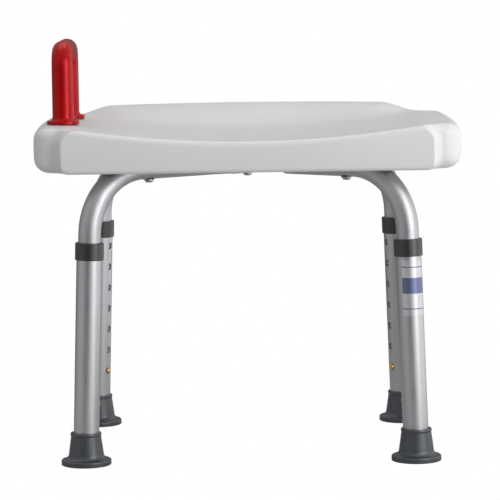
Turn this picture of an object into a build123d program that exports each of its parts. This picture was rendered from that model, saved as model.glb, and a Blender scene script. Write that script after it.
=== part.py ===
from build123d import *
import math
import os

# Shower stool. Millimetres, +Z up, +X to the user's left-right, -Y to the front.
# The origin is on the floor, midway between the four feet.

# Seat
SEAT_WIDTH = 484.8          # across the two end tabs at mid-depth
END_BOW = 4.5               # the ends curve in by this much at the tabs' corners
SEAT_DEPTH = 305.4          # front to back
SEAT_BOTTOM = 326.5
TAB_TOP = 376.8
FRONT_RIM_DROP = 15.7       # the front rim dips this far below the tabs at mid-width
BACK_RIM_RISE = 12.0        # the back rim stands this far above the tabs at mid-width
BACK_RIM_CROWN = 1.6        # and this much less at CROWN_HALF_WIDTH
CROWN_HALF_WIDTH = 150.0
FLOOR_RISE = 4.0            # the dish climbs this much from the front to FLOOR_RISE_END
FLOOR_RISE_END = 60.0
FLOOR_HALF_WIDTH = 120.0    # the floor's climb fades out from here to the dish's ends
SLOPE_START = 35.0          # the rear slope begins this far behind the centre
SLOPE_TOP_INSET = 8.0       # and reaches the back rim this far from the rear edge
SLOPE_NEAR_HALF_WIDTH = 184.0   # half the slope's width beside the handle
SLOPE_REAR_HALF_WIDTH = 205.0   # half its width at the rear edge
SLOPE_END_LENGTH = 44.0     # its ends fall away to the tabs over this length
DISH_HALF_WIDTH = 196.0     # the dish meets the level tabs here
DISH_END_SOFTNESS = 1.5
MAIN_HALF_WIDTH = 208.3     # half the width of the seat between the end tabs
TAB_INSET = 15.7            # the tabs are this much narrower than the seat at each edge
MAIN_CORNER_RADIUS = 9.0
TAB_CORNER_RADIUS = 21.0
TOP_EDGE_RADIUS = 6.0
BOTTOM_EDGE_RADIUS = 4.0
SEAT_WALL = 3.2
POCKET_RADIUS = 60.0        # round recess in the underside where the tubes cross
CHANNEL_HALF_LENGTH = 199.0
BELOW_SEAT = 300.0          # heights that clear the seat below and above
ABOVE_SEAT = 400.0
ABOVE_TOP = 80.0
TOP_MARGIN = 14.0           # the top surface is drawn this far past the seat's outline
TOP_GRID_X = 49
TOP_GRID_Y = 33

# Frame tubes, 1 in outside, and lower legs, 1-1/8 in outside
FRAME_OD = 25.4
FRAME_WALL = 1.2
FRAME_CENTRE_Z = 328.2
FRAME_BEND_RADIUS = 72.0
FRAME_PLAN_ANGLE = 36.0     # the crossed tubes run this many degrees from the X axis
FLAT_HALF_LENGTH = 26.0     # half of the pressed stretch where the tubes cross
FLAT_TRANSITION = 30.0
LEG_OD = 28.6
LEG_ID = 26.0
LEG_SPLAY = 2.37            # degrees from vertical
FOOT_CENTRE_RADIUS = 229.4  # from the origin to the leg's axis, on the floor

# Stations along a leg's axis, measured up from the floor
FRAME_END = 46.0
BUTTON_STATION = 67.2
HOLE_PITCH = 25.4
HOLE_COUNT = 7
HOLE_RADIUS = 3.95
LEG_TOP = 247.0
COLLAR_BOTTOM = 229.9
COLLAR_TOP = 249.4
COLLAR_OD = 32.0
COLLAR_BORE_RADIUS = 12.78
SOCKET_FLOOR = 7.5
WASHER_THICKNESS = 1.6

# Snap button and its leaf spring
BUTTON_RADIUS = 3.55
BUTTON_TIP = 17.4           # distance of the dome's tip from the leg's axis
BUTTON_DOME_HEIGHT = 2.6
BUTTON_BASE = 8.0
SPRING_WIDTH = 7.0
SPRING_THICKNESS = 0.7

# Foot
FOOT_HEIGHT = 36.5
FLANGE_RADIUS = 28.0
FLANGE_THICKNESS = 6.4
FOOT_NECK_RADIUS = 19.6      # just above the flange's blend
FOOT_RIM_RADIUS = 17.4       # the rolled rim round the leg
FOOT_GROOVES = (12.0, 20.0)  # mean radii of the grip grooves underneath
GROOVE_HALF_WIDTH = 1.2
GROOVE_DEPTH = 1.0

# Grab handle on the left tab
HANDLE_X = -208.5
HANDLE_HALF_SPAN = 55.8
HANDLE_DIAMETER = 24.0
HANDLE_TOP = 471.0
HANDLE_BEND_RADIUS = 19.0
HANDLE_BORE = 16.0
HANDLE_FLANGE_RADIUS = 18.4
HANDLE_FLANGE_THICKNESS = 4.2
HANDLE_CLEAR_Y = 76.0       # the rear slope keeps clear of the handle's foot up to here
HANDLE_SHELF = 10.0         # plastic left above each handle screw's counterbore
HANDLE_COUNTERBORE_RADIUS = 7.4
HANDLE_POST_RADIUS = 10.0

# Fasteners
SCREW_RADIUS = 2.5
SCREW_HOLE_RADIUS = 2.9
SCREW_HEAD_RADIUS = 4.9
SCREW_HEAD_HEIGHT = 2.8
INSERT_RADIUS = 4.5
INSERT_LENGTH = 12.0
SCREW_WASHER_RADIUS = 6.2
SCREW_WASHER_THICKNESS = 1.0
SEAT_SCREW_RADIUS = 137.8   # from the origin, along each tube
SCREW_SPARE_DEPTH = 4.0
HANDLE_SCREW_RADIUS = 3.0

# Label
LABEL_BOTTOM = 164.0
LABEL_HEIGHT = 62.0
LABEL_THICKNESS = 0.2
LABEL_START = 88.0          # degrees round the leg from the side that faces the centre
LABEL_SWEEP = 200.0

tube_radius = FRAME_OD / 2
flat_thickness = FRAME_OD / 2
flat_straight = (math.pi * FRAME_OD - math.pi * flat_thickness) / 2
half_width = SEAT_WIDTH / 2
half_depth = SEAT_DEPTH / 2
tab_half_depth = half_depth - TAB_INSET
channel_half_width = tube_radius + 0.5
channel_top = FRAME_CENTRE_Z + tube_radius + 0.5

LEG_ANGLES = {
    "fl": 180 + FRAME_PLAN_ANGLE,
    "fr": -FRAME_PLAN_ANGLE,
    "rl": 180 - FRAME_PLAN_ANGLE,
    "rr": FRAME_PLAN_ANGLE,
}


def along(angle, radius, height=0.0):
    """A point at a plan angle and radius from the stool's centre."""
    turn = math.radians(angle)
    return Vector(radius * math.cos(turn), radius * math.sin(turn), height)


def leg_plane(angle):
    """A leg's own frame: z up its axis from the floor, x towards the stool's centre."""
    lean = math.radians(LEG_SPLAY)
    up = along(angle, -math.sin(lean), math.cos(lean))
    inward = along(angle, -math.cos(lean), -math.sin(lean))
    return Plane(origin=along(angle, FOOT_CENTRE_RADIUS), x_dir=inward, z_dir=up)


def disc(radius, low, high, x=0.0, y=0.0):
    """A vertical cylinder between two heights."""
    return Pos(x, y, (low + high) / 2) * Cylinder(radius, high - low)


def smooth_step(value, low, high):
    t = min(max((value - low) / (high - low), 0.0), 1.0)
    return t * t * (3 - 2 * t)


# ---- Seat ----

def seat_plan(inset=0.0):
    """The seat's outline with its four stepped corners, drawn inset from the real edge."""
    x1 = MAIN_HALF_WIDTH - inset
    x2 = half_width - END_BOW - inset
    y1 = half_depth - inset
    y2 = tab_half_depth - inset
    right = ThreePointArc((x2, -y2), (half_width - inset, 0), (x2, y2))
    left = ThreePointArc((-x2, y2), (-half_width + inset, 0), (-x2, -y2))
    front = Polyline((-x2, -y2), (-x1, -y2), (-x1, -y1), (x1, -y1), (x1, -y2), (x2, -y2))
    back = Polyline((x2, y2), (x1, y2), (x1, y1), (-x1, y1), (-x1, y2), (-x2, y2))
    plan = make_face([right, left] + front.edges() + back.edges())
    corners = {
        (x2, y2): TAB_CORNER_RADIUS - inset,
        (x1, y1): MAIN_CORNER_RADIUS,
        (x1, y2): TAB_INSET - MAIN_CORNER_RADIUS - 0.2,
    }
    for (x, y), radius in corners.items():
        sharp = [v for v in plan.vertices()
                 if abs(abs(v.X) - x) < 0.01 and abs(abs(v.Y) - y) < 0.01]
        plan = fillet(sharp, radius)
    return plan


def top_height(x, y):
    """The dished top: low at the front, level at the tabs and raised along the back."""
    across = abs(x)
    dip = FRONT_RIM_DROP * (1 - (across / DISH_HALF_WIDTH) ** 2)
    front = TAB_TOP - (dip + math.hypot(dip, DISH_END_SOFTNESS)) / 2
    ends = smooth_step(across, DISH_HALF_WIDTH, FLOOR_HALF_WIDTH)
    floor = front + FLOOR_RISE * ends * smooth_step(y, -half_depth, FLOOR_RISE_END)
    widening = smooth_step(y, HANDLE_CLEAR_Y, half_depth - 2 * SLOPE_TOP_INSET)
    slope_end = SLOPE_NEAR_HALF_WIDTH
    slope_end += (SLOPE_REAR_HALF_WIDTH - SLOPE_NEAR_HALF_WIDTH) * widening
    rise = BACK_RIM_RISE - BACK_RIM_CROWN * (across / CROWN_HALF_WIDTH) ** 2
    back = TAB_TOP + rise * smooth_step(across, slope_end, slope_end - SLOPE_END_LENGTH)
    return floor + (back - floor) * smooth_step(y, SLOPE_START, half_depth - SLOPE_TOP_INSET)


def space_above_top(lowered=0.0):
    """Everything above the dished surface, as one solid."""
    x_reach = half_width + TOP_MARGIN
    y_reach = half_depth + TOP_MARGIN
    rows = []
    for i in range(TOP_GRID_X):
        x = x_reach * (2 * i / (TOP_GRID_X - 1) - 1)
        row = []
        for j in range(TOP_GRID_Y):
            y = y_reach * (2 * j / (TOP_GRID_Y - 1) - 1)
            row.append(Vector(x, y, top_height(x, y) - lowered))
        rows.append(row)
    surface = Face.make_surface_from_array_of_points(rows, tol=0.05, min_deg=3, max_deg=3)
    return Solid.extrude(surface, Vector(0, 0, ABOVE_TOP))


def frame_channels(spare=0.0):
    """The crossed grooves in the underside that the frame tubes lie in."""
    half = channel_half_width + spare
    length = 2 * (CHANNEL_HALF_LENGTH + spare)
    groove = Rot(0, 90, 0) * Cylinder(half, length)
    groove += Pos(0, 0, -half) * Box(length, 2 * half, 2 * half)
    groove = Pos(0, 0, FRAME_CENTRE_Z) * groove
    both = Rot(0, 0, FRAME_PLAN_ANGLE) * groove + Rot(0, 0, -FRAME_PLAN_ANGLE) * groove
    return both + disc(POCKET_RADIUS + spare, BELOW_SEAT, channel_top + spare)


def seat_screw_points():
    points = []
    for angle in LEG_ANGLES.values():
        spot = along(angle, SEAT_SCREW_RADIUS)
        points.append((spot.X, spot.Y))
    return points


def handle_screw_points():
    return [(HANDLE_X, -HANDLE_HALF_SPAN), (HANDLE_X, HANDLE_HALF_SPAN)]


def make_seat():
    block = extrude(Pos(0, 0, SEAT_BOTTOM) * seat_plan(), amount=ABOVE_TOP)
    seat = block - space_above_top()
    bottom_edges = seat.faces().sort_by(Axis.Z)[0].outer_wire().edges()
    seat = fillet(bottom_edges, BOTTOM_EDGE_RADIUS)
    high_faces = [f for f in seat.faces() if f.center().Z > TAB_TOP - FRONT_RIM_DROP]
    top_face = max(high_faces, key=lambda f: f.area)
    seat = fillet(top_face.outer_wire().edges(), TOP_EDGE_RADIUS)

    cavity = extrude(Pos(0, 0, SEAT_BOTTOM + SEAT_WALL) * seat_plan(SEAT_WALL), amount=ABOVE_TOP)
    cavity -= space_above_top(SEAT_WALL)
    cavity -= frame_channels(SEAT_WALL)
    for x, y in seat_screw_points() + [(0.0, 0.0)]:
        cavity -= disc(INSERT_RADIUS + SEAT_WALL, BELOW_SEAT, ABOVE_SEAT, x, y)
    for x, y in handle_screw_points():
        cavity -= disc(HANDLE_POST_RADIUS, BELOW_SEAT, ABOVE_SEAT, x, y)
    seat -= cavity

    seat -= frame_channels()
    insert_top = channel_top + INSERT_LENGTH
    for x, y in seat_screw_points() + [(0.0, 0.0)]:
        seat -= disc(INSERT_RADIUS, BELOW_SEAT, insert_top, x, y)
        seat -= disc(SCREW_HOLE_RADIUS, BELOW_SEAT, insert_top + SCREW_SPARE_DEPTH, x, y)
    for x, y in handle_screw_points():
        seat -= disc(HANDLE_COUNTERBORE_RADIUS, BELOW_SEAT, TAB_TOP - HANDLE_SHELF, x, y)
        seat -= disc(HANDLE_SCREW_RADIUS + 0.3, BELOW_SEAT, ABOVE_SEAT, x, y)
    return seat


# ---- Frame ----

def round_section(radius):
    """A circle drawn as four quarter arcs, so that it matches the pressed section edge by edge."""
    corner = radius / math.sqrt(2)
    top = ThreePointArc((-corner, corner), (0, radius), (corner, corner))
    right = ThreePointArc((corner, corner), (radius, 0), (corner, -corner))
    bottom = ThreePointArc((corner, -corner), (0, -radius), (-corner, -corner))
    left = ThreePointArc((-corner, -corner), (-radius, 0), (-corner, corner))
    return make_face([top, right, bottom, left])


def pressed_section(half_straight, half_height):
    """The flattened tube's section: two straights joined by half circles."""
    a, b = half_straight, half_height
    top = Line((-a, b), (a, b))
    right = ThreePointArc((a, b), (a + b, 0), (a, -b))
    bottom = Line((a, -b), (-a, -b))
    left = ThreePointArc((-a, -b), (-a - b, 0), (-a, b))
    return make_face([top, right, bottom, left])


def tube_outline(inset, press_centre):
    """One whole frame tube as a solid rod in the XZ plane, its surface moved in by inset."""
    radius = tube_radius - inset
    lean = math.radians(LEG_SPLAY)
    start = FLAT_HALF_LENGTH + FLAT_TRANSITION
    corner_x = FOOT_CENTRE_RADIUS - FRAME_CENTRE_Z * math.tan(lean)
    end_z = FRAME_END * math.cos(lean) - inset
    end_x = FOOT_CENTRE_RADIUS - end_z * math.tan(lean)
    path = FilletPolyline((start, 0, FRAME_CENTRE_Z), (corner_x, 0, FRAME_CENTRE_Z),
                          (end_x, 0, end_z), radius=FRAME_BEND_RADIUS)
    across = Plane(origin=(start, 0, FRAME_CENTRE_Z), x_dir=(0, 1, 0), z_dir=(1, 0, 0))
    half = sweep(across * round_section(radius), path=path)

    pressed = pressed_section(flat_straight / 2, flat_thickness / 2 - inset)
    inner = Plane(origin=(FLAT_HALF_LENGTH, 0, press_centre), x_dir=(0, 1, 0), z_dir=(1, 0, 0))
    half += loft([inner * pressed, across * round_section(radius)], ruled=True)
    middle = Plane(origin=(-FLAT_HALF_LENGTH, 0, press_centre), x_dir=(0, 1, 0), z_dir=(1, 0, 0))
    flat = extrude(middle * pressed, amount=2 * FLAT_HALF_LENGTH)
    return flat + half + Rot(0, 0, 180) * half


def make_frame_tube(press_centre, end_names):
    tube = tube_outline(0.0, press_centre) - tube_outline(FRAME_WALL, press_centre)
    for x in (-SEAT_SCREW_RADIUS, 0.0, SEAT_SCREW_RADIUS):
        tube -= disc(SCREW_HOLE_RADIUS, 300, 350, x)
    tube = Rot(0, 0, LEG_ANGLES[end_names[0]]) * tube
    for name in end_names:
        drill = Pos(10, 0, BUTTON_STATION) * Rot(0, 90, 0) * Cylinder(HOLE_RADIUS, 12)
        tube -= leg_plane(LEG_ANGLES[name]).location * drill
    return tube


# ---- Legs, each made about its own axis ----

def ring(outer, inner, low, high):
    return disc(outer, low, high) - disc(inner, low - 1, high + 1)


def make_lower_leg():
    leg = ring(LEG_OD / 2, LEG_ID / 2, SOCKET_FLOOR + WASHER_THICKNESS, LEG_TOP)
    for i in range(HOLE_COUNT):
        station = BUTTON_STATION + i * HOLE_PITCH
        leg -= Pos(14, 0, station) * Rot(0, 90, 0) * Cylinder(HOLE_RADIUS, 8)
    return leg


def make_collar():
    collar = disc(COLLAR_OD / 2, COLLAR_BOTTOM, COLLAR_TOP)
    collar = fillet(collar.edges(), 1.0)
    collar -= disc(LEG_OD / 2, COLLAR_BOTTOM - 1, LEG_TOP)
    return collar - disc(COLLAR_BORE_RADIUS, LEG_TOP - 1, COLLAR_TOP + 1)


def make_foot_washer():
    return ring(LEG_OD / 2 - 0.3, 6.0, SOCKET_FLOOR, SOCKET_FLOOR + WASHER_THICKNESS)


def make_foot(angle):
    """The rubber foot stands square on the floor, and its socket leans with the leg."""
    mid_radius = FOOT_CENTRE_RADIUS - FOOT_HEIGHT / 2 * math.tan(math.radians(LEG_SPLAY))
    blend_top = FLANGE_THICKNESS + 6
    rim = FOOT_RIM_RADIUS
    profile = [
        Line((0, 0), (FLANGE_RADIUS - 1, 0)),
        ThreePointArc((FLANGE_RADIUS - 1, 0), (FLANGE_RADIUS - 0.3, 0.3), (FLANGE_RADIUS, 1)),
        Line((FLANGE_RADIUS, 1), (FLANGE_RADIUS, FLANGE_THICKNESS - 2)),
        ThreePointArc((FLANGE_RADIUS, FLANGE_THICKNESS - 2),
                      (FLANGE_RADIUS - 0.59, FLANGE_THICKNESS - 0.59),
                      (FLANGE_RADIUS - 2, FLANGE_THICKNESS)),
        ThreePointArc((FLANGE_RADIUS - 2, FLANGE_THICKNESS),
                      (FLANGE_RADIUS - 6.4, FLANGE_THICKNESS + 1.7), (FOOT_NECK_RADIUS, blend_top)),
        Line((FOOT_NECK_RADIUS, blend_top), (rim - 0.6, FOOT_HEIGHT - 4)),
        ThreePointArc((rim - 0.6, FOOT_HEIGHT - 4), (rim, FOOT_HEIGHT - 2),
                      (rim - 0.8, FOOT_HEIGHT)),
        Line((rim - 0.8, FOOT_HEIGHT), (0, FOOT_HEIGHT)),
        Line((0, FOOT_HEIGHT), (0, 0)),
    ]
    foot = revolve(Plane.XZ * make_face(profile), axis=Axis.Z)
    for middle in FOOT_GROOVES:
        foot -= ring(middle + GROOVE_HALF_WIDTH, middle - GROOVE_HALF_WIDTH, -1, GROOVE_DEPTH)
    foot = Pos(*along(angle, mid_radius)) * foot
    socket = leg_plane(angle).location * disc(LEG_OD / 2 + 0.05, SOCKET_FLOOR, FOOT_HEIGHT + 10)
    return foot - socket


def make_button():
    """A brass dome on a short plunger with a flange that stops it at the tube's inner wall."""
    flat = BUTTON_TIP - BUTTON_DOME_HEIGHT
    sphere = (BUTTON_RADIUS ** 2 + BUTTON_DOME_HEIGHT ** 2) / (2 * BUTTON_DOME_HEIGHT)
    halfway = math.asin(BUTTON_RADIUS / sphere) / 2
    middle = (sphere * math.sin(halfway), BUTTON_TIP - sphere * (1 - math.cos(halfway)))
    outline = [
        Line((0, BUTTON_BASE), (4.6, BUTTON_BASE)),
        Line((4.6, BUTTON_BASE), (4.6, BUTTON_BASE + 1)),
        Line((4.6, BUTTON_BASE + 1), (BUTTON_RADIUS, BUTTON_BASE + 1)),
        Line((BUTTON_RADIUS, BUTTON_BASE + 1), (BUTTON_RADIUS, flat)),
        ThreePointArc((BUTTON_RADIUS, flat), middle, (0, BUTTON_TIP)),
        Line((0, BUTTON_TIP), (0, BUTTON_BASE)),
    ]
    plunger = revolve(Plane.XZ * make_face(outline), axis=Axis.Z)
    return Pos(0, 0, BUTTON_STATION) * Rot(0, 90, 0) * plunger


def make_spring_clip():
    """A V-shaped leaf spring: one leaf on the far wall, the other behind the button."""
    wall_x = -(tube_radius - FRAME_WALL) + 1.4
    low = BUTTON_STATION - 32
    near = FilletPolyline((wall_x, BUTTON_STATION + 8), (wall_x, low + 14), (wall_x + 8, low + 14 - 9),
                          (BUTTON_BASE - SPRING_THICKNESS, BUTTON_STATION - 14),
                          (BUTTON_BASE - SPRING_THICKNESS, BUTTON_STATION + 6), radius=3)
    leaf = make_face(offset(near, amount=SPRING_THICKNESS / 2, side=Side.BOTH).edges())
    return extrude(Plane.XZ * leaf, amount=SPRING_WIDTH / 2, both=True)


def make_label():
    """A blank wrap-round label on the front of the right-hand leg."""
    inner = LEG_OD / 2
    outer = inner + LABEL_THICKNESS
    top = LABEL_BOTTOM + LABEL_HEIGHT
    section = make_face(Polyline((inner, LABEL_BOTTOM), (outer, LABEL_BOTTOM), (outer, top),
                                 (inner, top), close=True))
    film = revolve(Plane.XZ * section, axis=Axis.Z, revolution_arc=LABEL_SWEEP)
    return Rot(0, 0, LABEL_START) * film


# ---- Handle ----

def handle_rod(diameter, base):
    """The handle's inverted U as a rod, from a given height on each side."""
    top = HANDLE_TOP - HANDLE_DIAMETER / 2
    path = FilletPolyline((HANDLE_X, -HANDLE_HALF_SPAN, base), (HANDLE_X, -HANDLE_HALF_SPAN, top),
                          (HANDLE_X, HANDLE_HALF_SPAN, top), (HANDLE_X, HANDLE_HALF_SPAN, base),
                          radius=HANDLE_BEND_RADIUS)
    start = Plane(origin=(HANDLE_X, -HANDLE_HALF_SPAN, base), z_dir=(0, 0, 1))
    return sweep(start * Circle(diameter / 2), path=path)


def handle_base():
    """The flared round base of one handle leg."""
    r, low = HANDLE_FLANGE_RADIUS, TAB_TOP
    rim = low + HANDLE_FLANGE_THICKNESS
    neck = HANDLE_DIAMETER / 2
    outline = [
        Line((0, low), (r - 0.6, low)),
        Line((r - 0.6, low), (r, low + 0.6)),
        Line((r, low + 0.6), (r, rim - 1.5)),
        ThreePointArc((r, rim - 1.5), (r - 0.44, rim - 0.44), (r - 1.5, rim)),
        ThreePointArc((r - 1.5, rim), (neck + 1.5, rim + 1.6), (neck, rim + 5)),
        Line((neck, rim + 5), (0, rim + 5)),
        Line((0, rim + 5), (0, low)),
    ]
    return revolve(Plane.XZ * make_face(outline), axis=Axis.Z)


def make_handle():
    handle = handle_rod(HANDLE_DIAMETER, TAB_TOP + 1)
    for x, y in handle_screw_points():
        handle += Pos(x, y, 0) * handle_base()
    handle -= handle_rod(HANDLE_BORE, TAB_TOP + 26)
    for x, y in handle_screw_points():
        handle -= disc(HANDLE_SCREW_RADIUS, TAB_TOP - 1, TAB_TOP + 22, x, y)
    return handle


# ---- Fasteners ----

def pan_head_screw(head_under, tip, shank_radius, head_radius, head_height, recess_radius):
    """A screw pointing up, with the underside of its head at head_under."""
    bottom = head_under - head_height
    outline = [
        Line((0, bottom), (head_radius * 0.55, bottom)),
        ThreePointArc((head_radius * 0.55, bottom),
                      (head_radius * 0.9, bottom + head_height * 0.35),
                      (head_radius, head_under)),
        Line((head_radius, head_under), (shank_radius, head_under)),
        Line((shank_radius, head_under), (shank_radius, tip - 1)),
        Line((shank_radius, tip - 1), (shank_radius - 0.8, tip)),
        Line((shank_radius - 0.8, tip), (0, tip)),
        Line((0, tip), (0, bottom)),
    ]
    screw = revolve(Plane.XZ * make_face(outline), axis=Axis.Z)
    slot = Box(2 * recess_radius, 1.1, 3) + Box(1.1, 2 * recess_radius, 3)
    return screw - Pos(0, 0, bottom) * slot


def spread(piece, points):
    """Copies of one piece at several plan points, as a group of separate solids."""
    copies = []
    for x, y in points:
        copies.append(Pos(x, y, 0) * piece)
    return Compound(children=copies)


def make_fasteners():
    tube_bottom = FRAME_CENTRE_Z - tube_radius
    under_head = tube_bottom - SCREW_WASHER_THICKNESS
    insert_top = channel_top + INSERT_LENGTH
    screw = pan_head_screw(under_head, insert_top - 1, SCREW_RADIUS, SCREW_HEAD_RADIUS,
                           SCREW_HEAD_HEIGHT, 2.9)
    washer = ring(SCREW_WASHER_RADIUS, SCREW_HOLE_RADIUS, under_head, tube_bottom)
    insert = ring(INSERT_RADIUS, SCREW_RADIUS, channel_top, insert_top)
    shelf = TAB_TOP - HANDLE_SHELF
    handle_screw = pan_head_screw(shelf - 1.2, TAB_TOP + 20, HANDLE_SCREW_RADIUS, 5.4, 3.4, 3.2)
    handle_washer = ring(7.0, HANDLE_SCREW_RADIUS + 0.2, shelf - 1.2, shelf)
    corners = seat_screw_points()
    centre = [(0.0, 0.0)]
    return {
        "seat_screws": spread(screw, corners),
        "centre_screw": spread(screw, centre),
        "screw_washers": spread(washer, corners + centre),
        "threaded_inserts": spread(insert, corners + centre),
        "handle_screws": spread(handle_screw, handle_screw_points()),
        "handle_washers": spread(handle_washer, handle_screw_points()),
    }


# ---- All sub-parts ----

def make_all():
    nodes = {
        "seat": make_seat(),
        "grab_handle": make_handle(),
        "frame_tube_lower": make_frame_tube(FRAME_CENTRE_Z - flat_thickness / 2, ("rr", "fl")),
        "frame_tube_upper": make_frame_tube(FRAME_CENTRE_Z + flat_thickness / 2, ("fr", "rl")),
    }
    nodes.update(make_fasteners())
    shared = {
        "lower_leg": make_lower_leg(),
        "leg_collar": make_collar(),
        "foot_washer": make_foot_washer(),
        "snap_button": make_button(),
        "spring_clip": make_spring_clip(),
    }
    for corner, angle in LEG_ANGLES.items():
        place = leg_plane(angle).location
        for name, piece in shared.items():
            nodes[f"{name}_{corner}"] = place * piece
        nodes[f"rubber_foot_{corner}"] = make_foot(angle)
    nodes["leg_label"] = leg_plane(LEG_ANGLES["fr"]).location * make_label()
    return nodes


os.makedirs("parts", exist_ok=True)
for node, shape in make_all().items():
    shape.label = node
    export_step(shape, f"parts/{node}.step")
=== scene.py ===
import math

import bpy
import numpy as np
from mathutils import Matrix, Vector


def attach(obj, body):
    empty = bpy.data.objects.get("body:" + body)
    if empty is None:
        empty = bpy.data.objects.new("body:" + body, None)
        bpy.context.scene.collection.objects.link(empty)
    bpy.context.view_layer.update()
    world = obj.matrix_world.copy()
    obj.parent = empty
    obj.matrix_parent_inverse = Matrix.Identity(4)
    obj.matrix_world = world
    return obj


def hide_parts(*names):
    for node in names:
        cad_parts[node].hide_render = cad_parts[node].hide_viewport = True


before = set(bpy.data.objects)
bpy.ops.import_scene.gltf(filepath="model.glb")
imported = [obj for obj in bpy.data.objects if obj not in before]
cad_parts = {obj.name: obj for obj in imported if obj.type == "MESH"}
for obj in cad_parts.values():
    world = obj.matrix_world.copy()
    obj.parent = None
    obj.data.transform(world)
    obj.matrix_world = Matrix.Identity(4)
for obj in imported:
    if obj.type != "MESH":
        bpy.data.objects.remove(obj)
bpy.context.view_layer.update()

MM = 0.001
CORNERS = ("fl", "fr", "rl", "rr")


# ---------------------------------------------------------------- camera and light

CAMERA_PLACE = (-0.00615, -3.2093, 0.571)
CAMERA_PITCH = math.radians(6.16)    # down from level
CAMERA_YAW = math.radians(0.14)
CAMERA_ROLL = math.radians(0.75)
LENS = 200.2                         # on a 36 mm sensor


def make_camera():
    ahead = Vector((math.sin(CAMERA_YAW) * math.cos(CAMERA_PITCH),
                    math.cos(CAMERA_YAW) * math.cos(CAMERA_PITCH),
                    -math.sin(CAMERA_PITCH)))
    level = Vector((math.cos(CAMERA_YAW), -math.sin(CAMERA_YAW), 0.0))
    above = level.cross(ahead)
    right = level * math.cos(CAMERA_ROLL) - above * math.sin(CAMERA_ROLL)
    up = right.cross(ahead)
    turn = Matrix((right, up, -ahead)).transposed()
    lens = bpy.data.cameras.new("camera")
    lens.lens = LENS
    lens.sensor_width = 36.0
    lens.clip_end = 50.0
    camera = bpy.data.objects.new("camera", lens)
    camera.matrix_world = Matrix.Translation(CAMERA_PLACE) @ turn.to_4x4()
    bpy.context.scene.collection.objects.link(camera)
    bpy.context.scene.camera = camera


# the room's brightness by bearing, in degrees from the camera's side towards +X
ROOM = ((-180, 0.08), (-130, 0.16), (-95, 0.38), (-65, 0.48), (-38, 0.34), (-14, 0.08),
        (2, 0.08), (18, 0.46), (50, 0.75), (82, 0.98), (128, 1.0), (150, 0.15), (180, 0.08))
CEILING = 0.55
CEILING_START, CEILING_FULL = 0.1, 0.9      # the upward part of a direction
ROOM_STRENGTH = 1.3

# name, place, aim, width, height and power, in metres and watts
LIGHTS = (("key", (0.97, -1.12, 0.74), (0.0, 0.0, 0.36), 1.2, 1.3, 6.8),
          ("strip", (1.10, -0.99, 0.74), (0.0, 0.0, 0.36), 0.2, 1.3, 3.7),
          ("overhead", (-0.2, 0.5, 1.9), (0.0, 0.0, 0.35), 1.4, 1.0, 4.6))

FLOOR_HALF_LENGTH = 0.5


def area_light(name, place, aim, width, height, power):
    lamp = bpy.data.lights.new(name, "AREA")
    lamp.shape = "RECTANGLE"
    lamp.size = width
    lamp.size_y = height
    lamp.energy = power
    light = bpy.data.objects.new(name, lamp)
    light.location = place
    light.rotation_euler = (Vector(aim) - Vector(place)).to_track_quat("-Z", "Y").to_euler()
    light.visible_camera = False
    bpy.context.scene.collection.objects.link(light)


def make_world():
    """A room, dark in front and behind and bright on the right. The camera sees plain white."""
    world = bpy.data.worlds.new("studio")
    bpy.context.scene.world = world
    world.use_nodes = True
    nodes, links = world.node_tree.nodes, world.node_tree.links
    nodes.clear()
    place = nodes.new("ShaderNodeTexCoord")
    split = nodes.new("ShaderNodeSeparateXYZ")
    links.new(place.outputs["Generated"], split.inputs[0])
    front = nodes.new("ShaderNodeMath")
    front.operation = "MULTIPLY"
    front.inputs[1].default_value = -1.0
    links.new(split.outputs["Y"], front.inputs[0])
    bearing = nodes.new("ShaderNodeMath")
    bearing.operation = "ARCTAN2"
    links.new(split.outputs["X"], bearing.inputs[0])
    links.new(front.outputs[0], bearing.inputs[1])
    share = nodes.new("ShaderNodeMapRange")
    share.inputs["From Min"].default_value = -math.pi
    share.inputs["From Max"].default_value = math.pi
    links.new(bearing.outputs[0], share.inputs["Value"])
    walls = nodes.new("ShaderNodeValToRGB")
    walls.color_ramp.interpolation = "B_SPLINE"
    stops = walls.color_ramp.elements
    while len(stops) < len(ROOM):
        stops.new(0.5)
    for stop, (degrees, level) in zip(stops, ROOM):
        stop.position = degrees / 360 + 0.5
        stop.color = (level, level, level, 1.0)
    links.new(share.outputs["Result"], walls.inputs["Fac"])
    height = nodes.new("ShaderNodeMapRange")
    height.inputs["From Min"].default_value = CEILING_START
    height.inputs["From Max"].default_value = CEILING_FULL
    links.new(split.outputs["Z"], height.inputs["Value"])
    room_mix = nodes.new("ShaderNodeMix")
    room_mix.data_type = "RGBA"
    room_mix.inputs["B"].default_value = (CEILING, CEILING, CEILING, 1.0)
    links.new(height.outputs["Result"], room_mix.inputs["Factor"])
    links.new(walls.outputs["Color"], room_mix.inputs["A"])
    room = nodes.new("ShaderNodeBackground")
    room.inputs["Strength"].default_value = ROOM_STRENGTH
    links.new(room_mix.outputs["Result"], room.inputs["Color"])
    plain = nodes.new("ShaderNodeBackground")
    plain.inputs["Color"].default_value = (1.0, 1.0, 1.0, 1.0)
    seen = nodes.new("ShaderNodeLightPath")
    mix = nodes.new("ShaderNodeMixShader")
    links.new(seen.outputs["Is Camera Ray"], mix.inputs["Fac"])
    links.new(room.outputs[0], mix.inputs[1])
    links.new(plain.outputs[0], mix.inputs[2])
    out = nodes.new("ShaderNodeOutputWorld")
    links.new(mix.outputs[0], out.inputs["Surface"])


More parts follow.
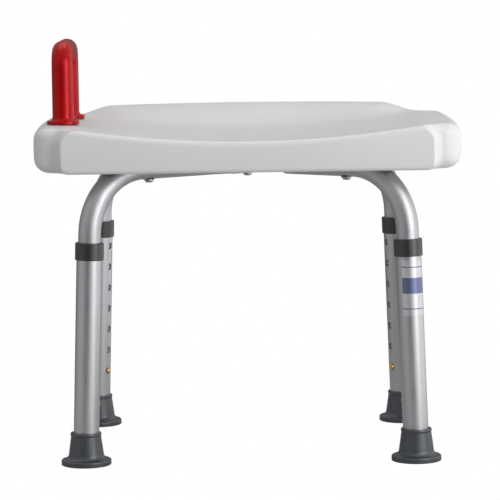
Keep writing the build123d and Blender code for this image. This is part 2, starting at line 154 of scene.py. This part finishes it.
def make_floor():
    """A plain grey floor that lights the stool from below. The camera sees past it to white."""
    half = FLOOR_HALF_LENGTH
    mesh = bpy.data.meshes.new("floor")
    mesh.from_pydata([(-half, -half, 0), (half, -half, 0), (half, half, 0), (-half, half, 0)],
                     [], [(0, 1, 2, 3)])
    floor = bpy.data.objects.new("floor", mesh)
    bpy.context.scene.collection.objects.link(floor)
    floor.visible_camera = False
    mesh.materials.append(new_material("floor_paint", (0.5, 0.5, 0.5), 0.8))


# ---------------------------------------------------------------- materials

def new_material(name, colour, roughness, metallic=0.0):
    material = bpy.data.materials.new(name)
    material.use_nodes = True
    shader = material.node_tree.nodes["Principled BSDF"]
    shader.inputs["Base Color"].default_value = (*colour, 1.0)
    shader.inputs["Roughness"].default_value = roughness
    shader.inputs["Metallic"].default_value = metallic
    material.diffuse_color = (*colour, 1.0)
    return material


class Surface:
    """One procedural material: a shader with noise in its colour, roughness and bump."""

    def __init__(self, name, colour, roughness, metallic=0.0):
        self.material = new_material(name, colour, roughness, metallic)
        self.nodes = self.material.node_tree.nodes
        self.links = self.material.node_tree.links
        self.shader = self.nodes["Principled BSDF"]
        self.colour = colour
        self.place = self.nodes.new("ShaderNodeTexCoord").outputs["Object"]
        self.last_bump = None

    def set(self, **values):
        for name, value in values.items():
            self.shader.inputs[name.replace("_", " ")].default_value = value
        return self

    def noise(self, scale, detail=3.0, stretch=(1.0, 1.0, 1.0)):
        """Noise with features about 1/scale metres across, stretched along the axes."""
        mapping = self.nodes.new("ShaderNodeMapping")
        mapping.inputs["Scale"].default_value = stretch
        self.links.new(self.place, mapping.inputs["Vector"])
        texture = self.nodes.new("ShaderNodeTexNoise")
        texture.inputs["Scale"].default_value = scale
        texture.inputs["Detail"].default_value = detail
        self.links.new(mapping.outputs[0], texture.inputs["Vector"])
        return texture.outputs["Fac"]

    def between(self, fac, low, high):
        """A value that runs from low to high as the noise does."""
        ramp = self.nodes.new("ShaderNodeMapRange")
        ramp.inputs["From Min"].default_value = 0.3
        ramp.inputs["From Max"].default_value = 0.7
        ramp.inputs["To Min"].default_value = low
        ramp.inputs["To Max"].default_value = high
        self.links.new(fac, ramp.inputs["Value"])
        return ramp.outputs["Result"]

    def level_line(self, height, half_width):
        """A value that is 1 on a level line round the piece and fades to 0 beside it."""
        split = self.nodes.new("ShaderNodeSeparateXYZ")
        self.links.new(self.place, split.inputs[0])
        offset = self.nodes.new("ShaderNodeMath")
        offset.operation = "SUBTRACT"
        offset.inputs[1].default_value = height
        self.links.new(split.outputs["Z"], offset.inputs[0])
        distance = self.nodes.new("ShaderNodeMath")
        distance.operation = "ABSOLUTE"
        self.links.new(offset.outputs[0], distance.inputs[0])
        fade = self.nodes.new("ShaderNodeMapRange")
        fade.interpolation_type = "SMOOTHSTEP"
        fade.inputs["From Min"].default_value = half_width
        fade.inputs["From Max"].default_value = 0.0
        self.links.new(distance.outputs[0], fade.inputs["Value"])
        return fade.outputs["Result"]

    def vary_colour(self, fac, other):
        mix = self.nodes.new("ShaderNodeMix")
        mix.data_type = "RGBA"
        mix.inputs["A"].default_value = (*self.colour, 1.0)
        mix.inputs["B"].default_value = (*other, 1.0)
        self.links.new(self.between(fac, 0.0, 1.0), mix.inputs["Factor"])
        self.links.new(mix.outputs["Result"], self.shader.inputs["Base Color"])
        return self

    def vary_roughness(self, fac, low, high):
        self.links.new(self.between(fac, low, high), self.shader.inputs["Roughness"])
        return self

    def bump(self, fac, height_mm, strength=1.0):
        node = self.nodes.new("ShaderNodeBump")
        node.inputs["Strength"].default_value = strength
        node.inputs["Distance"].default_value = height_mm * MM
        self.links.new(fac, node.inputs["Height"])
        if self.last_bump:
            self.links.new(self.last_bump.outputs["Normal"], node.inputs["Normal"])
        self.last_bump = node
        self.links.new(node.outputs["Normal"], self.shader.inputs["Normal"])
        return self


PARTING_LINE_HEIGHT, PARTING_LINE_HALF_WIDTH = 0.3327, 0.0009      # metres


def seat_plastic():
    """Warm white blow-moulded polyethylene: satin, with a fine grain and a faint parting line."""
    s = Surface("seat_plastic", (0.72, 0.715, 0.712), 0.42)
    s.vary_colour(s.noise(9.0), (0.70, 0.694, 0.688))
    s.vary_roughness(s.noise(35.0), 0.36, 0.47)
    s.bump(s.noise(1400.0, 2.0), 0.025, 0.5)
    s.bump(s.noise(14.0, 1.0), 0.12, 0.35)
    s.bump(s.level_line(PARTING_LINE_HEIGHT, PARTING_LINE_HALF_WIDTH), 0.12, 0.6)
    return s.material


def handle_plastic():
    """Glossy deep red plastic, slightly wavy."""
    s = Surface("handle_plastic", (0.42, 0.001, 0.001), 0.2, 0.22)
    s.set(Specular_IOR_Level=0.35, Specular_Tint=(1.0, 0.6, 0.7, 1.0))
    s.vary_colour(s.noise(30.0), (0.385, 0.001, 0.001))
    s.vary_roughness(s.noise(60.0), 0.15, 0.22)
    s.bump(s.noise(60.0, 1.0), 0.04, 0.4)
    s.bump(s.noise(1500.0, 1.0), 0.006, 0.4)
    return s.material


def aluminium(name, colour, low, high):
    """Anodised aluminium: satin, with a faint mottle, fine scuffs and a fine grain."""
    s = Surface(name, colour, (low + high) / 2, 1.0)
    s.vary_colour(s.noise(25.0), tuple(0.95 * c for c in colour))
    s.vary_roughness(s.noise(160.0, 5.0, (1.0, 1.0, 0.25)), low, high)
    s.bump(s.noise(2200.0, 1.0), 0.003, 0.4)
    s.bump(s.noise(420.0, 2.0, (1.0, 1.0, 0.12)), 0.004, 0.35)
    return s.material


def collar_plastic():
    """Nearly black moulded plastic with a slight sheen."""
    s = Surface("collar_plastic", (0.013, 0.0135, 0.017), 0.3)
    s.set(Specular_IOR_Level=0.8)
    s.vary_roughness(s.noise(80.0), 0.27, 0.36)
    s.vary_colour(s.noise(50.0), (0.018, 0.019, 0.023))
    s.bump(s.noise(1200.0, 2.0), 0.012, 0.5)
    return s.material


def foot_rubber():
    """Dark blue-grey rubber with a fine grain."""
    s = Surface("foot_rubber", (0.023, 0.028, 0.038), 0.38)
    s.set(Specular_IOR_Level=0.95)
    s.vary_colour(s.noise(45.0, 5.0), (0.031, 0.037, 0.048))
    s.vary_roughness(s.noise(70.0, 5.0), 0.32, 0.44)
    s.bump(s.noise(1100.0, 2.0), 0.02, 0.5)
    return s.material


# how far up the label each plain or printed band starts
LABEL_BANDS = ((0.0, False), (0.12, True), (0.14, False), (0.40, True), (0.68, False),
               (0.86, True), (0.88, False))


def label_film():
    """A blank pale film with one plain blue-grey band and two thin rules."""
    s = Surface("label_film", (0.58, 0.585, 0.61), 0.33, 0.65)
    s.vary_roughness(s.noise(90.0), 0.28, 0.38)
    s.bump(s.noise(300.0), 0.01, 0.3)
    split = s.nodes.new("ShaderNodeSeparateXYZ")
    whole = s.nodes.new("ShaderNodeTexCoord").outputs["Generated"]
    s.links.new(whole, split.inputs[0])
    bands = s.nodes.new("ShaderNodeValToRGB")
    bands.color_ramp.interpolation = "CONSTANT"
    film, ink = (0.58, 0.585, 0.61, 1.0), (0.15, 0.17, 0.30, 1.0)
    stops = bands.color_ramp.elements
    while len(stops) < len(LABEL_BANDS):
        stops.new(0.5)
    for stop, (start, printed) in zip(stops, LABEL_BANDS):
        stop.position = start
        stop.color = ink if printed else film
    s.links.new(split.outputs["Z"], bands.inputs["Fac"])
    s.links.new(bands.outputs["Color"], s.shader.inputs["Base Color"])
    return s.material


def polished(name, colour, roughness):
    """Bright metal, for the small fittings."""
    s = Surface(name, colour, roughness, 1.0)
    s.vary_roughness(s.noise(400.0), roughness * 0.8, roughness * 1.25)
    s.vary_colour(s.noise(250.0), tuple(0.88 * c for c in colour))
    s.bump(s.noise(900.0), 0.005, 0.5)
    return s.material


def paint(node, material):
    """Gives a CAD node its finished material."""
    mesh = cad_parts[node].data
    mesh.materials.clear()
    mesh.materials.append(material)


def paint_frame():
    tube = aluminium("tube_aluminium", (0.50, 0.502, 0.518), 0.40, 0.49)
    leg = aluminium("leg_aluminium", (0.52, 0.522, 0.538), 0.35, 0.43)
    collar = collar_plastic()
    rubber = foot_rubber()
    brass = polished("button_brass", (0.78, 0.45, 0.17), 0.22)
    steel = polished("screw_steel", (0.42, 0.42, 0.43), 0.3)
    spring = polished("spring_steel", (0.3, 0.3, 0.31), 0.35)
    for node in ("frame_tube_lower", "frame_tube_upper"):
        paint(node, tube)
    for corner in CORNERS:
        paint(f"lower_leg_{corner}", leg)
        paint(f"leg_collar_{corner}", collar)
        paint(f"rubber_foot_{corner}", rubber)
        paint(f"snap_button_{corner}", brass)
        paint(f"foot_washer_{corner}", steel)
        paint(f"spring_clip_{corner}", spring)
    for node in ("seat_screws", "centre_screw", "screw_washers", "handle_screws",
                 "handle_washers"):
        paint(node, steel)
    paint("threaded_inserts", brass)
    paint("leg_label", label_film())


# ---------------------------------------------------------------- a mesher for moulded shapes

def grid_lines(low, high, coarse, fine, fine_zones):
    """Coordinates from low to high, closer together inside the listed zones."""
    lines = [low]
    while lines[-1] < high:
        here = lines[-1]
        close = any(a <= here < b for a, b in fine_zones)
        lines.append(here + (fine if close else coarse))
    return np.array(lines)


def both_sides(near, far):
    return [(-far, -near), (near, far)]


def surface_net(shape, xs, ys, zs):
    """Points and quads on the zero surface of shape(x, y, z), which is negative inside."""
    gx, gy, gz = np.meshgrid(xs, ys, zs, indexing="ij")
    value = shape(gx, gy, gz)
    inside = value < 0
    counts = np.array(value.shape) - 1
    total = np.zeros((*counts, 3))
    hits = np.zeros(counts)
    points = np.stack([gx, gy, gz], -1)
    for axis in range(3):
        first = [slice(None)] * 3
        second = [slice(None)] * 3
        first[axis] = slice(0, -1)
        second[axis] = slice(1, None)
        a, b = value[tuple(first)], value[tuple(second)]
        crossing = inside[tuple(first)] != inside[tuple(second)]
        share = np.where(crossing, a / np.where(a == b, 1.0, a - b), 0.0)[..., None]
        at = points[tuple(first)] * (1 - share) + points[tuple(second)] * share
        at = at * crossing[..., None]
        others = [k for k in range(3) if k != axis]
        for i in (0, 1):
            for j in (0, 1):
                part = [slice(None)] * 3
                part[others[0]] = slice(i, i + counts[others[0]])
                part[others[1]] = slice(j, j + counts[others[1]])
                total += at[tuple(part)]
                hits += crossing[tuple(part)]
    used = hits > 0
    number = np.full(counts, -1)
    number[used] = np.arange(used.sum())
    verts = total[used] / hits[used][:, None]

    faces = []
    for axis in range(3):
        first = [slice(1, -1)] * 3
        second = [slice(1, -1)] * 3
        first[axis] = slice(0, -1)
        second[axis] = slice(1, None)
        a, b = inside[tuple(first)], inside[tuple(second)]
        u, v = [(1, 2), (2, 0), (0, 1)][axis]
        cells = []
        for du, dv in ((0, 0), (1, 0), (1, 1), (0, 1)):
            part = [None] * 3
            part[axis] = slice(0, counts[axis])
            part[u] = slice(du, du + counts[u] - 1)
            part[v] = slice(dv, dv + counts[v] - 1)
            cells.append(number[tuple(part)])
        quads = np.stack(cells, -1)
        faces.append(quads[a & ~b])
        faces.append(quads[~a & b][:, ::-1])
    return verts, np.concatenate(faces)


def slope(shape, verts, step=0.02):
    gradient = np.zeros_like(verts)
    for axis in range(3):
        shift = np.zeros(3)
        shift[axis] = step
        ahead, behind = verts + shift, verts - shift
        gradient[:, axis] = (shape(*ahead.T) - shape(*behind.T)) / (2 * step)
    return gradient


def settle(shape, verts, rounds=6):
    """Moves the points onto the zero surface along its slope."""
    for _ in range(rounds):
        gradient = slope(shape, verts)
        size = np.maximum((gradient ** 2).sum(1), 0.2)
        verts = verts - (shape(*verts.T) / size)[:, None] * gradient
    return verts


def moulded(name, shape, xs, ys, zs, material):
    """A smooth closed piece from a shape function in millimetres."""
    verts, faces = surface_net(shape, xs, ys, zs)
    verts = settle(shape, verts)
    normals = slope(shape, verts)
    normals /= np.maximum(np.linalg.norm(normals, axis=1), 1e-9)[:, None]
    return new_piece(name, verts * MM, faces, material, normals)


def new_piece(name, verts, faces, material, normals=None):
    mesh = bpy.data.meshes.new(name)
    mesh.from_pydata(np.asarray(verts).tolist(), [], np.asarray(faces).tolist())
    mesh.polygons.foreach_set("use_smooth", [True] * len(mesh.polygons))
    mesh.materials.append(material)
    mesh.update()
    if normals is not None:
        mesh.normals_split_custom_set_from_vertices(normals.tolist())
    piece = bpy.data.objects.new(name, mesh)
    bpy.context.scene.collection.objects.link(piece)
    return piece


def rounded_box(x, y, half_x, half_y, radius):
    """Signed distance to a rectangle with round corners."""
    dx = np.abs(x) - (half_x - radius)
    dy = np.abs(y) - (half_y - radius)
    outside = np.hypot(np.maximum(dx, 0), np.maximum(dy, 0))
    return outside + np.minimum(np.maximum(dx, dy), 0) - radius


def both(a, b, radius):
    """The space inside a and b, with their shared edge rounded."""
    edge = np.hypot(np.maximum(a + radius, 0), np.maximum(b + radius, 0))
    return np.minimum(np.maximum(a, b), -radius) + edge


def either(a, b, radius):
    """The space inside a or b, with a fillet in the corner between them."""
    return -both(-a, -b, radius)


def smooth_step(value, low, high):
    t = np.clip((value - low) / (high - low), 0.0, 1.0)
    return t * t * (3 - 2 * t)


# ---------------------------------------------------------------- seat, in millimetres

# the CAD seat's dimensions
SEAT_HALF_WIDTH, SEAT_HALF_DEPTH = 242.4, 152.7
SEAT_BOTTOM, TAB_TOP = 326.5, 376.8
MAIN_HALF_WIDTH, TAB_HALF_DEPTH = 208.3, 137.0
END_BOW = 4.5                        # the ends curve in by this much at the tabs' corners
FRONT_RIM_DROP = 15.7
DISH_HALF_WIDTH, FLOOR_HALF_WIDTH = 196.0, 120.0
DISH_END_SOFTNESS = 1.5
FLOOR_RISE, FLOOR_RISE_END = 4.0, 60.0
SLOPE_START, SLOPE_TOP_INSET = 35.0, 8.0
SLOPE_NEAR_HALF_WIDTH, SLOPE_REAR_HALF_WIDTH = 184.0, 205.0
SLOPE_END_LENGTH = 44.0
HANDLE_CLEAR_Y, SLOPE_WIDE_Y = 76.0, SEAT_HALF_DEPTH - 16.0
BACK_RIM_RISE, BACK_RIM_CROWN, CROWN_HALF_WIDTH = 12.0, 1.6, 150.0
TUBE_ANGLE = math.radians(36.0)
TUBE_HEIGHT, GROOVE_HALF_WIDTH, GROOVE_HALF_LENGTH = 328.2, 13.2, 199.0
POCKET_RADIUS, POCKET_TOP = 60.0, 341.4
HANDLE_X, HANDLE_HALF_SPAN = -208.5, 55.8
RECESS_RADIUS, RECESS_TOP = 7.4, 366.8

# the moulding's softness
DRAFT = math.tan(math.radians(1.2))
DRAFT_TOP = TAB_TOP - 4.0
SIDE_BULGE = 1.5                     # the sides are fuller at mid-height by this much
BULGE_MIDDLE, BULGE_REACH = 350.0, 24.0
MAIN_CORNER_RADIUS, TAB_CORNER_RADIUS, NOTCH_FILLET = 3.0, 22.0, 11.0
TOP_EDGE_RADIUS, TAB_TOP_EDGE_EXTRA = 6.0, 6.5
BOTTOM_EDGE_RADIUS, TAB_BOTTOM_EDGE_EXTRA = 4.5, 11.0
TAB_EDGE_START, TAB_EDGE_FULL = 196.0, 222.0        # where the edges grow to the tabs' radii
SHOULDER_RADIUS, SHOULDER_OVERHANG = 26.0, 1.0
SHOULDER_FILLET, SHOULDER_EDGE_RADIUS = 9.0, 1.3
UNDERSIDE_EDGE_RADIUS, RECESS_EDGE_RADIUS = 1.2, 1.0


def seat_top(x, y):
    """Height of the dished top, the same shape as the CAD seat."""
    across = np.abs(x)
    dip = FRONT_RIM_DROP * (1 - (across / DISH_HALF_WIDTH) ** 2)
    front = TAB_TOP - (dip + np.hypot(dip, DISH_END_SOFTNESS)) / 2
    ends = smooth_step(across, DISH_HALF_WIDTH, FLOOR_HALF_WIDTH)
    floor = front + FLOOR_RISE * ends * smooth_step(y, -SEAT_HALF_DEPTH, FLOOR_RISE_END)
    widening = SLOPE_REAR_HALF_WIDTH - SLOPE_NEAR_HALF_WIDTH
    slope_end = SLOPE_NEAR_HALF_WIDTH + widening * smooth_step(y, HANDLE_CLEAR_Y, SLOPE_WIDE_Y)
    rise = BACK_RIM_RISE - BACK_RIM_CROWN * (across / CROWN_HALF_WIDTH) ** 2
    back = TAB_TOP + rise * smooth_step(across, slope_end, slope_end - SLOPE_END_LENGTH)
    return floor + (back - floor) * smooth_step(y, SLOPE_START, SEAT_HALF_DEPTH - SLOPE_TOP_INSET)


def seat_block(x, y, z):
    """The seat without its underside's recesses: a middle block and two end tabs."""
    across = np.abs(x)
    above = z - seat_top(x, y)
    draft = DRAFT * np.maximum(DRAFT_TOP - z, 0)
    draft += SIDE_BULGE * ((z - BULGE_MIDDLE) / BULGE_REACH) ** 2
    main = rounded_box(x, y, MAIN_HALF_WIDTH, SEAT_HALF_DEPTH, MAIN_CORNER_RADIUS) + draft
    bow = END_BOW * (y / TAB_HALF_DEPTH) ** 2
    tabs = rounded_box(across + bow, y, SEAT_HALF_WIDTH, TAB_HALF_DEPTH, TAB_CORNER_RADIUS) + draft
    at_tab = smooth_step(across, TAB_EDGE_START, TAB_EDGE_FULL)
    top_radius = TOP_EDGE_RADIUS + TAB_TOP_EDGE_EXTRA * at_tab
    body = both(above, either(main, tabs, NOTCH_FILLET), top_radius)
    reach = SHOULDER_RADIUS - SHOULDER_OVERHANG
    shoulder_x = np.maximum(across - MAIN_HALF_WIDTH + reach, 0)
    shoulder = np.hypot(shoulder_x, np.maximum(above + reach, 0)) - SHOULDER_RADIUS
    body = both(body, either(shoulder, tabs, SHOULDER_FILLET), SHOULDER_EDGE_RADIUS)
    return both(body, SEAT_BOTTOM - z, BOTTOM_EDGE_RADIUS + TAB_BOTTOM_EDGE_EXTRA * at_tab)


def seat_shape(x, y, z):
    """The seat's outside, below zero in the plastic, with the grooves and recesses under it."""
    body = seat_block(x, y, z)
    for turn in (TUBE_ANGLE, -TUBE_ANGLE):
        along = x * math.cos(turn) + y * math.sin(turn)
        aside = y * math.cos(turn) - x * math.sin(turn)
        groove = np.hypot(aside, np.maximum(z - TUBE_HEIGHT, 0)) - GROOVE_HALF_WIDTH
        groove = np.maximum(groove, np.abs(along) - GROOVE_HALF_LENGTH)
        body = both(body, -groove, UNDERSIDE_EDGE_RADIUS)
    pocket = np.maximum(np.hypot(x, y) - POCKET_RADIUS, z - POCKET_TOP)
    body = both(body, -pocket, UNDERSIDE_EDGE_RADIUS)
    for middle in (-HANDLE_HALF_SPAN, HANDLE_HALF_SPAN):
        recess = np.maximum(np.hypot(x - HANDLE_X, y - middle) - RECESS_RADIUS, z - RECESS_TOP)
        body = both(body, -recess, RECESS_EDGE_RADIUS)
    return body


# the grid that the seat is meshed on, finer near its ends and edges
SEAT_GRID_X, SEAT_GRID_Y, SEAT_GRID_FINE_X, SEAT_GRID_FINE_Y = 244.0, 156.0, 188.0, 122.0
SEAT_STEP, SEAT_FINE_STEP = 3.0, 1.5
SEAT_GRID_BOTTOM, SEAT_GRID_TOP, SEAT_LEVEL_STEP = 323.3, 394.0, 1.7


def make_seat():
    xs = grid_lines(-SEAT_GRID_X, SEAT_GRID_X, SEAT_STEP, SEAT_FINE_STEP,
                    both_sides(SEAT_GRID_FINE_X, SEAT_GRID_X))
    ys = grid_lines(-SEAT_GRID_Y, SEAT_GRID_Y, SEAT_STEP, SEAT_FINE_STEP,
                    both_sides(SEAT_GRID_FINE_Y, SEAT_GRID_Y))
    zs = np.arange(SEAT_GRID_BOTTOM, SEAT_GRID_TOP, SEAT_LEVEL_STEP)
    seat = moulded("moulded_seat", seat_shape, xs, ys, zs, seat_plastic())
    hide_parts("seat")
    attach(seat, "root")


# ---------------------------------------------------------------- handle

HANDLE_TOP, HANDLE_BEND_RADIUS = 471.0, 19.0
HANDLE_RADIUS, FLANGE_RADIUS, FLANGE_THICKNESS = 12.0, 18.4, 4.4
FLANGE_EDGE_RADIUS, FLANGE_FILLET = 1.0, 4.6
HANDLE_GAP, HANDLE_BASE_EDGE_RADIUS = 0.02, 0.4      # the gap above the tab, and the base's edge

# the grid that the handle is meshed on, finer along its legs, flanges and bends
HANDLE_GRID_X_LOW, HANDLE_GRID_X_HIGH, HANDLE_GRID_Y = -229.0, -188.0, 76.0
HANDLE_GRID_LOW, HANDLE_GRID_HIGH, HANDLE_LEG_INSIDE = 374.0, 473.0, 36.0
FLANGE_ZONE, TOP_ZONE = (373.0, 388.0), (430.0, 473.0)
HANDLE_STEP, HANDLE_FINE_STEP = 2.4, 1.25
HANDLE_LEVEL_STEP, HANDLE_FINE_LEVEL_STEP = 2.2, 1.1


def handle_shape(x, y, z):
    """The U of the grab handle, with a flared round base on each leg."""
    side = np.abs(y)
    top = HANDLE_TOP - HANDLE_RADIUS
    along = side - (HANDLE_HALF_SPAN - HANDLE_BEND_RADIUS)
    up = z - (top - HANDLE_BEND_RADIUS)
    corner = np.hypot(np.maximum(along, 0), np.maximum(up, 0)) - HANDLE_BEND_RADIUS
    path = np.where((along > 0) & (up > 0), np.abs(corner),
                    np.where(up > 0, np.abs(z - top), np.abs(side - HANDLE_HALF_SPAN)))
    rod = np.hypot(x - HANDLE_X, path) - HANDLE_RADIUS
    out = np.hypot(x - HANDLE_X, side - HANDLE_HALF_SPAN)
    flange = both(out - FLANGE_RADIUS, z - (TAB_TOP + FLANGE_THICKNESS), FLANGE_EDGE_RADIUS)
    shape = either(rod, flange, FLANGE_FILLET)
    return both(shape, TAB_TOP + HANDLE_GAP - z, HANDLE_BASE_EDGE_RADIUS)


def make_handle():
    xs = np.arange(HANDLE_GRID_X_LOW, HANDLE_GRID_X_HIGH, HANDLE_FINE_STEP)
    ys = grid_lines(-HANDLE_GRID_Y, HANDLE_GRID_Y + 0.5, HANDLE_STEP, HANDLE_FINE_STEP,
                    both_sides(HANDLE_LEG_INSIDE, HANDLE_GRID_Y))
    zs = grid_lines(HANDLE_GRID_LOW, HANDLE_GRID_HIGH, HANDLE_LEVEL_STEP,
                    HANDLE_FINE_LEVEL_STEP, [FLANGE_ZONE, TOP_ZONE])
    handle = moulded("red_handle", handle_shape, xs, ys, zs, handle_plastic())
    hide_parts("grab_handle")
    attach(handle, "root")


# ---------------------------------------------------------------- everything

make_camera()
make_world()
for light in LIGHTS:
    area_light(*light)
make_floor()
bpy.context.scene.view_settings.view_transform = "Standard"
paint_frame()
make_seat()
make_handle()
